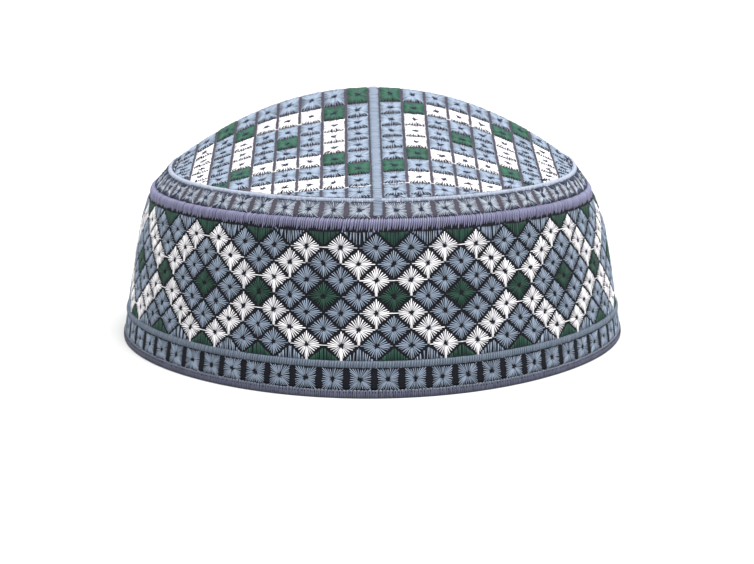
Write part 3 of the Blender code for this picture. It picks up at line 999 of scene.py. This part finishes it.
for front in (True, False):
    for side in (1, -1):
        for column in range(1, COLUMNS_A_SIDE + 1):
            near, far = column_edges[column - 1] + CELL_GAP, column_edges[column] - CELL_GAP
            for row in range(1, ROWS_A_SLOPE + 1):
                top, bottom = row_end(row - 1) if row > 1 else 0.0, row_end(row)
                middle = np.array([side * (near + far) / 2, (top + bottom) / 2 - ROW_GAP])
                half = np.array([(far - near) / 2, (bottom - top) / 2 - ROW_GAP])
                inside = on_slope_of(front, middle + probe * half)
                if far - near < MM or inside.mean() < LEAST_CELL:
                    continue
                heart = middle + (probe[inside] * half).mean(axis=0)
                ends = star(middle, half, SQUARE_CORNERS, CELL_EDGE, ragged=CELL_RAGGED)
                ways = heart + (ends - heart)[:, None, :] * reach_steps[:, None]
                good = np.cumprod(on_slope_of(front, ways), axis=1).sum(axis=1) - 1
                ends = heart + (ends - heart) * reach_steps[np.maximum(good, 0)][:, None]
                ends = ends[np.linalg.norm(ends - heart, axis=1) > 2 * STAR_HOLE]
                if not len(ends):
                    continue
                starts = from_hole(heart, ends, 1.0 / CELL_HOLE)
                cells[front, cell_colour(column, row)].append((starts, ends))
                edge = along_edge(middle, half, CELL_TEETH, 1)
                for gaps, (starts, ends) in ((cell_gap_shadows, edge_wedges(heart, edge)),
                                             (cell_hole_shades, hole_wedges(heart))):
                    keep = on_slope_of(front, starts) & on_slope_of(front, ends)
                    gaps[front].append((starts[keep], ends[keep]))

SLOPE_NAMES = {True: "front", False: "back"}
# Painted light: the band's green thread, painted lighter up here for the stronger light on the crown
CELL_THREADS = {**THREADS, "green": rayon("green_rayon_painted_lighter", "#0a1a14", "#205241")}
for front in (True, False):
    slope, chart = SLOPE_NAMES[front], row_chart(front)
    for colour, thread in CELL_THREADS.items():
        sew_stars(f"crown_{slope}_{colour}_cells", chart, CHART_STEP, cells[front, colour],
                  CELL_WIDTHS * STAR_WIDTHS[colour], thread, f"{colour}_star_thread", CELL_EVERY_OTHER)
    sew_wedges(f"crown_{slope}_cell_gap_shadows", chart, cell_gap_shadows[front], CELL_WEDGE_WIDTH, gap_shadow_thread)
    sew_wedges(f"crown_{slope}_cell_hole_shades", chart, cell_hole_shades[front], WEDGE_WIDTH, hole_shade_thread)

# Travel threads of the crown: a white thread wanders along below the eighth row from the strip to
# the first white cell on each side, and short ones join white cells over the gaps between columns.
TRAVEL_WIDTH = 0.3 * MM
TRAVEL_ROW = 8
TRAVEL_POINTS = 5
TRAVEL_UP = 0.2 * MM
TRAVEL_WANDER = 0.3 * MM
JOIN_LENGTH = 2.6 * MM
JOIN_UP = 0.4 * MM


for front in (True, False):
    stitches = []
    for side in (1, -1):
        run = side * np.linspace(COLUMN_START, column_edges[1] + MM, TRAVEL_POINTS)
        down = row_end(TRAVEL_ROW) - TRAVEL_UP + TRAVEL_WANDER * rng.standard_normal(TRAVEL_POINTS)
        points = stacked(run, down)
        stitches.append((points[:-1], points[1:]))
        for column in range(1, COLUMNS_A_SIDE):
            for row in range(1, ROWS_A_SLOPE):
                if cell_colour(column, row) == cell_colour(column + 1, row) == "white":
                    gap = np.array([side * column_edges[column], row_end(row) - JOIN_UP])
                    points = gap + [[-JOIN_LENGTH / 2, 0.0], [JOIN_LENGTH / 2, 0.0]]
                    if on_slope_of(front, points).all():
                        stitches.append((points[:1], points[1:]))
    sew_stars(f"crown_{SLOPE_NAMES[front]}_travel_threads", row_chart(front), CHART_STEP, stitches,
              TRAVEL_WIDTH, THREADS["white"], "white_star_thread", every_other=1.0)

# Strip: one flat band of pale blue satin from the ridge in front, up the shoulder, over the inner
# line and the fold, and down to the ridge behind, its threads lying across a flat padding.
STRIP_HALF = 1.58 * MM
STRIP_SWELL = 0.2 * MM
STRIP_THICKNESS = 0.3 * MM
STRIP_COLUMNS = 240
STRIP_SIDES = 10
STRIP_SATIN = {"count": 360, "ragged": 0.05, "width": 0.56 * MM, "height": 0.16 * MM, "slant": 0.3}
# Its middle line: even steps, the number that each bend is smoothed over, the share of the shoulder
# under its ends, how it rises over the inner line, and how soon it is full from a pointed end
STRIP_STEPS = 1200
SMOOTHED_OVER = 15
STRIP_LOW = 0.3
OVER_LINE = 0.45 * MM
OVER_LINE_REACH = 1.3 * MM
STRIP_POINTED = 500


def at_shares(shares, steps, table):
    """A table's columns, read at shares of a way between its steps."""
    return stacked(*[np.interp(shares, steps, column) for column in table.T])


def strip_path():
    """Middle line of the strip with its normals, in even steps."""
    down = np.linspace(0.0, 1.0, 400)
    ends = []
    for front, turn in ((True, 0.0), (False, math.pi)):
        length = np.interp(0.0, slope_x, SLOPES[front][1])
        slope = crown_chart(front)(stacked(0.0 * down, length * down))
        low, high = corner_point(turn), oval_point(turn)
        shoulder = low + (high - low) * (1.0 - (1.0 - STRIP_LOW) * down)[:, None]
        ends.append(np.concatenate([slope[:-1], shoulder]))
    path = np.concatenate([ends[0][::-1], ends[1][1:]])
    path[:, 0] = 0.0
    way = ways_along(path)
    even = np.linspace(0.0, way[-1], STRIP_STEPS)
    path = at_shares(even, way, path)
    smooth = np.ones(SMOOTHED_OVER) / SMOOTHED_OVER
    for axis in (1, 2):
        padded = np.pad(path[:, axis], SMOOTHED_OVER // 2, mode="reflect", reflect_type="odd")
        path[:, axis] = np.convolve(padded, smooth, mode="valid")
    along = np.gradient(path, axis=0)
    normal = unit(stacked(0.0 * even, -along[:, 2], along[:, 1]))
    crossings = oval_point(np.array([0.0, math.pi]))
    nearest = np.min([np.linalg.norm(path - point, axis=1) for point in crossings], axis=0)
    return path, normal, OVER_LINE * np.exp(-(nearest / OVER_LINE_REACH) ** 2)


STRIP_POINTS, STRIP_NORMALS, STRIP_LIFTS = strip_path()


def strip_body(place):
    """A flat strip that closes to a point at each end, under the ridge."""
    along, turn = place[..., 0], place[..., 1]
    steps = np.linspace(0.0, 1.0, STRIP_STEPS)
    point = at_shares(along, steps, STRIP_POINTS)
    normal = unit(at_shares(along, steps, STRIP_NORMALS))
    full = np.clip(np.minimum(along, 1.0 - along) * STRIP_POINTED, 0.0, 1.0)
    rise = np.sign(np.sin(turn)) * np.sqrt(np.abs(np.sin(turn)))
    lift = np.where(rise > 0, STRIP_THICKNESS * rise, -SUNK) * full
    point = point + normal * (lift + np.interp(along, steps, STRIP_LIFTS))[..., None]
    half = STRIP_HALF + STRIP_SWELL * 4 * along * (1.0 - along)
    point[..., 0] += half * np.cos(turn) * full
    return point


strip_thread = rayon("pale_blue_strip_rayon", "#616b77", "#778394")
satin_line("centre_strip", STRIP_COLUMNS, STRIP_SIDES, strip_body, strip_thread, STRIP_SATIN,
           "centre_strip", "front_strip", "back_strip")

# The studio: a plain sweep of white paper for a floor, matt and without a sheen, one broad soft
# light almost straight above, and an even white sky. The camera stands where the photograph's did.
SUN_TILT = 11
SUN_TO_RIGHT = 10
CAMERA_PLACE = (-10.85 * MM, -559.9 * MM, 142.3 * MM)
CAMERA_PITCH = 0.2212
CAMERA_YAW = 0.0219
bpy.ops.mesh.primitive_plane_add(size=60.0)
floor = bpy.context.object
floor.name = "floor"
floor_paper, floor_shader = new_material("white_paper_sweep")
set_inputs(floor_paper, floor_shader, {"Base Color": linear("#bebebe"), "Roughness": 1.0,
                                       "Specular IOR Level": 0.0})
floor.data.materials.append(floor_paper)

world = bpy.data.worlds.new("studio")
scene = bpy.context.scene
scene.world = world
world.use_nodes = True
background = world.node_tree.nodes["Background"]
set_inputs(world, background, {"Color": linear("#ffffff"), "Strength": 0.94})
sun_turn = (math.radians(SUN_TILT), math.radians(SUN_TO_RIGHT), 0.0)
bpy.ops.object.light_add(type="SUN", location=(0.0, 0.0, 1.0), rotation=sun_turn)
lamp = bpy.context.object
lamp.name = "overhead_softbox"
lamp.data.angle = math.radians(50)
lamp.data.energy = 5.3

camera_turn = (math.pi / 2 - CAMERA_PITCH, 0.0, -CAMERA_YAW)
bpy.ops.object.camera_add(location=CAMERA_PLACE, rotation=camera_turn)
camera = bpy.context.object
camera.data.sensor_fit = "HORIZONTAL"
camera.data.sensor_width = 36.0
camera.data.lens = 74.09
camera.data.clip_start = 0.01
scene.camera = camera
scene.view_settings.view_transform = "Standard"
